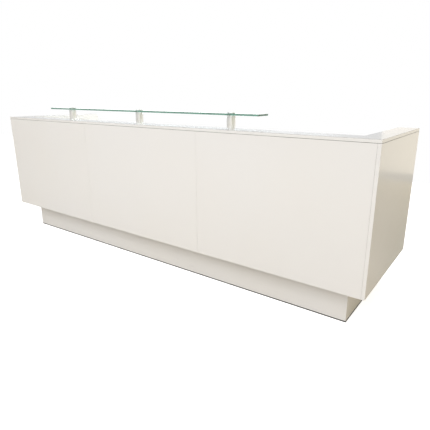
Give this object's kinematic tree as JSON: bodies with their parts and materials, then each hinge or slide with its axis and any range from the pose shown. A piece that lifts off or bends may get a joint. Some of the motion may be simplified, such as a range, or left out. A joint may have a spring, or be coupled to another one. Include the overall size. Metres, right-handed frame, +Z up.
{
  "type": "checkout counter",
  "caption": "Long white shop counter on a recessed plinth, with a U-shaped top, a raised glass shelf on steel posts, and a worktop, drawers and a cupboard on the staff side.",
  "frame": {"origin": "on the floor, under the middle of the counter's outline", "axes": "+Z up, +X along the counter to the customer's right, -Y towards the customer, +Y towards the staff"},
  "size_m": [3.2, 0.85, 1.1],
  "materials": {
    "white_laminate": "glossy white laminate on particle board",
    "plinth_laminate": "white laminate on particle board",
    "worktop_laminate": "fine matt white laminate",
    "drawer_laminate": "light grey melamine",
    "clear_glass": "clear float glass with polished green edges",
    "brushed_steel": "satin brushed",
    "zinc_steel": "zinc-plated sheet",
    "black_plastic": "moulded black",
    "grey_plastic": "moulded light grey"
  },
  "bodies": {
    "carcass": {"front_panel_left": "white_laminate", "front_panel_centre": "white_laminate", "front_panel_right": "white_laminate", "wall_rib_left": "white_laminate", "wall_rib_right": "white_laminate", "lining_front": "white_laminate", "side_panel_left": "white_laminate", "side_panel_right": "white_laminate", "wing_lining_left": "white_laminate", "wing_lining_right": "white_laminate", "wing_end_left": "white_laminate", "wing_end_right": "white_laminate", "hob_front": "white_laminate", "hob_wing_left": "white_laminate", "hob_wing_right": "white_laminate", "base_deck_left": "white_laminate", "base_deck_right": "white_laminate", "base_deck_centre": "white_laminate", "plinth_front": "plinth_laminate", "plinth_side_left": "plinth_laminate", "plinth_side_right": "plinth_laminate", "plinth_rear_left": "plinth_laminate", "plinth_rear_right": "plinth_laminate", "worktop": "worktop_laminate", "gable_left": "white_laminate", "gable_right": "white_laminate", "glass_shelf": "clear_glass", "standoff_post_left": "brushed_steel", "standoff_post_centre": "brushed_steel", "standoff_post_right": "brushed_steel", "standoff_cap_left": "brushed_steel", "standoff_cap_centre": "brushed_steel", "standoff_cap_right": "brushed_steel", "cupboard_shelf": "white_laminate", "hinge_frame_leaf_upper": "zinc_steel", "hinge_frame_leaf_lower": "zinc_steel", "runner_frame_left": "zinc_steel", "runner_frame_right": "zinc_steel"},
    "door": {"cupboard_door": "white_laminate", "cupboard_handle": "brushed_steel", "hinge_door_leaf_upper": "zinc_steel", "hinge_door_leaf_lower": "zinc_steel"},
    "drawer_1": {"drawer_front_1": "white_laminate", "drawer_box_1": "drawer_laminate", "drawer_handle_1": "brushed_steel"},
    "drawer_2": {"drawer_front_2": "white_laminate", "drawer_box_2": "drawer_laminate", "drawer_handle_2": "brushed_steel"},
    "drawer_3": {"drawer_front_3": "white_laminate", "drawer_box_3": "drawer_laminate", "drawer_handle_3": "brushed_steel"},
    "lock": {"drawer_lock": "brushed_steel"},
    "cap_left": {"cable_cap_left": "grey_plastic"},
    "cap_right": {"cable_cap_right": "grey_plastic"},
    "leg_1": {"leg_front_left": "black_plastic"},
    "leg_2": {"leg_rear_left": "black_plastic"},
    "leg_3": {"leg_inner_left": "black_plastic"},
    "leg_4": {"leg_front_right": "black_plastic"},
    "leg_5": {"leg_rear_right": "black_plastic"},
    "leg_6": {"leg_inner_right": "black_plastic"}
  },
  "joints": [
    {"name": "door_hinge", "type": "hinge", "parent": "carcass", "child": "door", "pos_m": [-1.4745, 0.395, 0.472], "axis": [0, 0, 1], "range_deg": [0, 105]},
    {"name": "drawer_1_slide", "type": "slide", "parent": "carcass", "child": "drawer_1", "axis": [0, 1, 0], "range_m": [0, 0.4]},
    {"name": "drawer_2_slide", "type": "slide", "parent": "carcass", "child": "drawer_2", "axis": [0, 1, 0], "range_m": [0, 0.4]},
    {"name": "drawer_3_slide", "type": "slide", "parent": "carcass", "child": "drawer_3", "axis": [0, 1, 0], "range_m": [0, 0.4]},
    {"name": "lock_turn", "type": "hinge", "parent": "drawer_1", "child": "lock", "pos_m": [1.1705, 0.38, 0.697], "axis": [0, -1, 0], "range_deg": [0, 90]},
    {"name": "cap_left_lift", "type": "slide", "parent": "carcass", "child": "cap_left", "axis": [0, 0, 1], "range_m": [0, 0.05]},
    {"name": "cap_right_lift", "type": "slide", "parent": "carcass", "child": "cap_right", "axis": [0, 0, 1], "range_m": [0, 0.05]},
    {"name": "leg_1_turn", "type": "hinge", "parent": "carcass", "child": "leg_1", "pos_m": [-1.42, -0.24, 0], "axis": [0, 0, 1], "continuous": true},
    {"name": "leg_2_turn", "type": "hinge", "parent": "carcass", "child": "leg_2", "pos_m": [-1.42, 0.29, 0], "axis": [0, 0, 1], "continuous": true},
    {"name": "leg_3_turn", "type": "hinge", "parent": "carcass", "child": "leg_3", "pos_m": [-0.93, 0.29, 0], "axis": [0, 0, 1], "continuous": true},
    {"name": "leg_4_turn", "type": "hinge", "parent": "carcass", "child": "leg_4", "pos_m": [1.42, -0.24, 0], "axis": [0, 0, 1], "continuous": true},
    {"name": "leg_5_turn", "type": "hinge", "parent": "carcass", "child": "leg_5", "pos_m": [1.42, 0.29, 0], "axis": [0, 0, 1], "continuous": true},
    {"name": "leg_6_turn", "type": "hinge", "parent": "carcass", "child": "leg_6", "pos_m": [0.93, 0.29, 0], "axis": [0, 0, 1], "continuous": true}
  ]
}
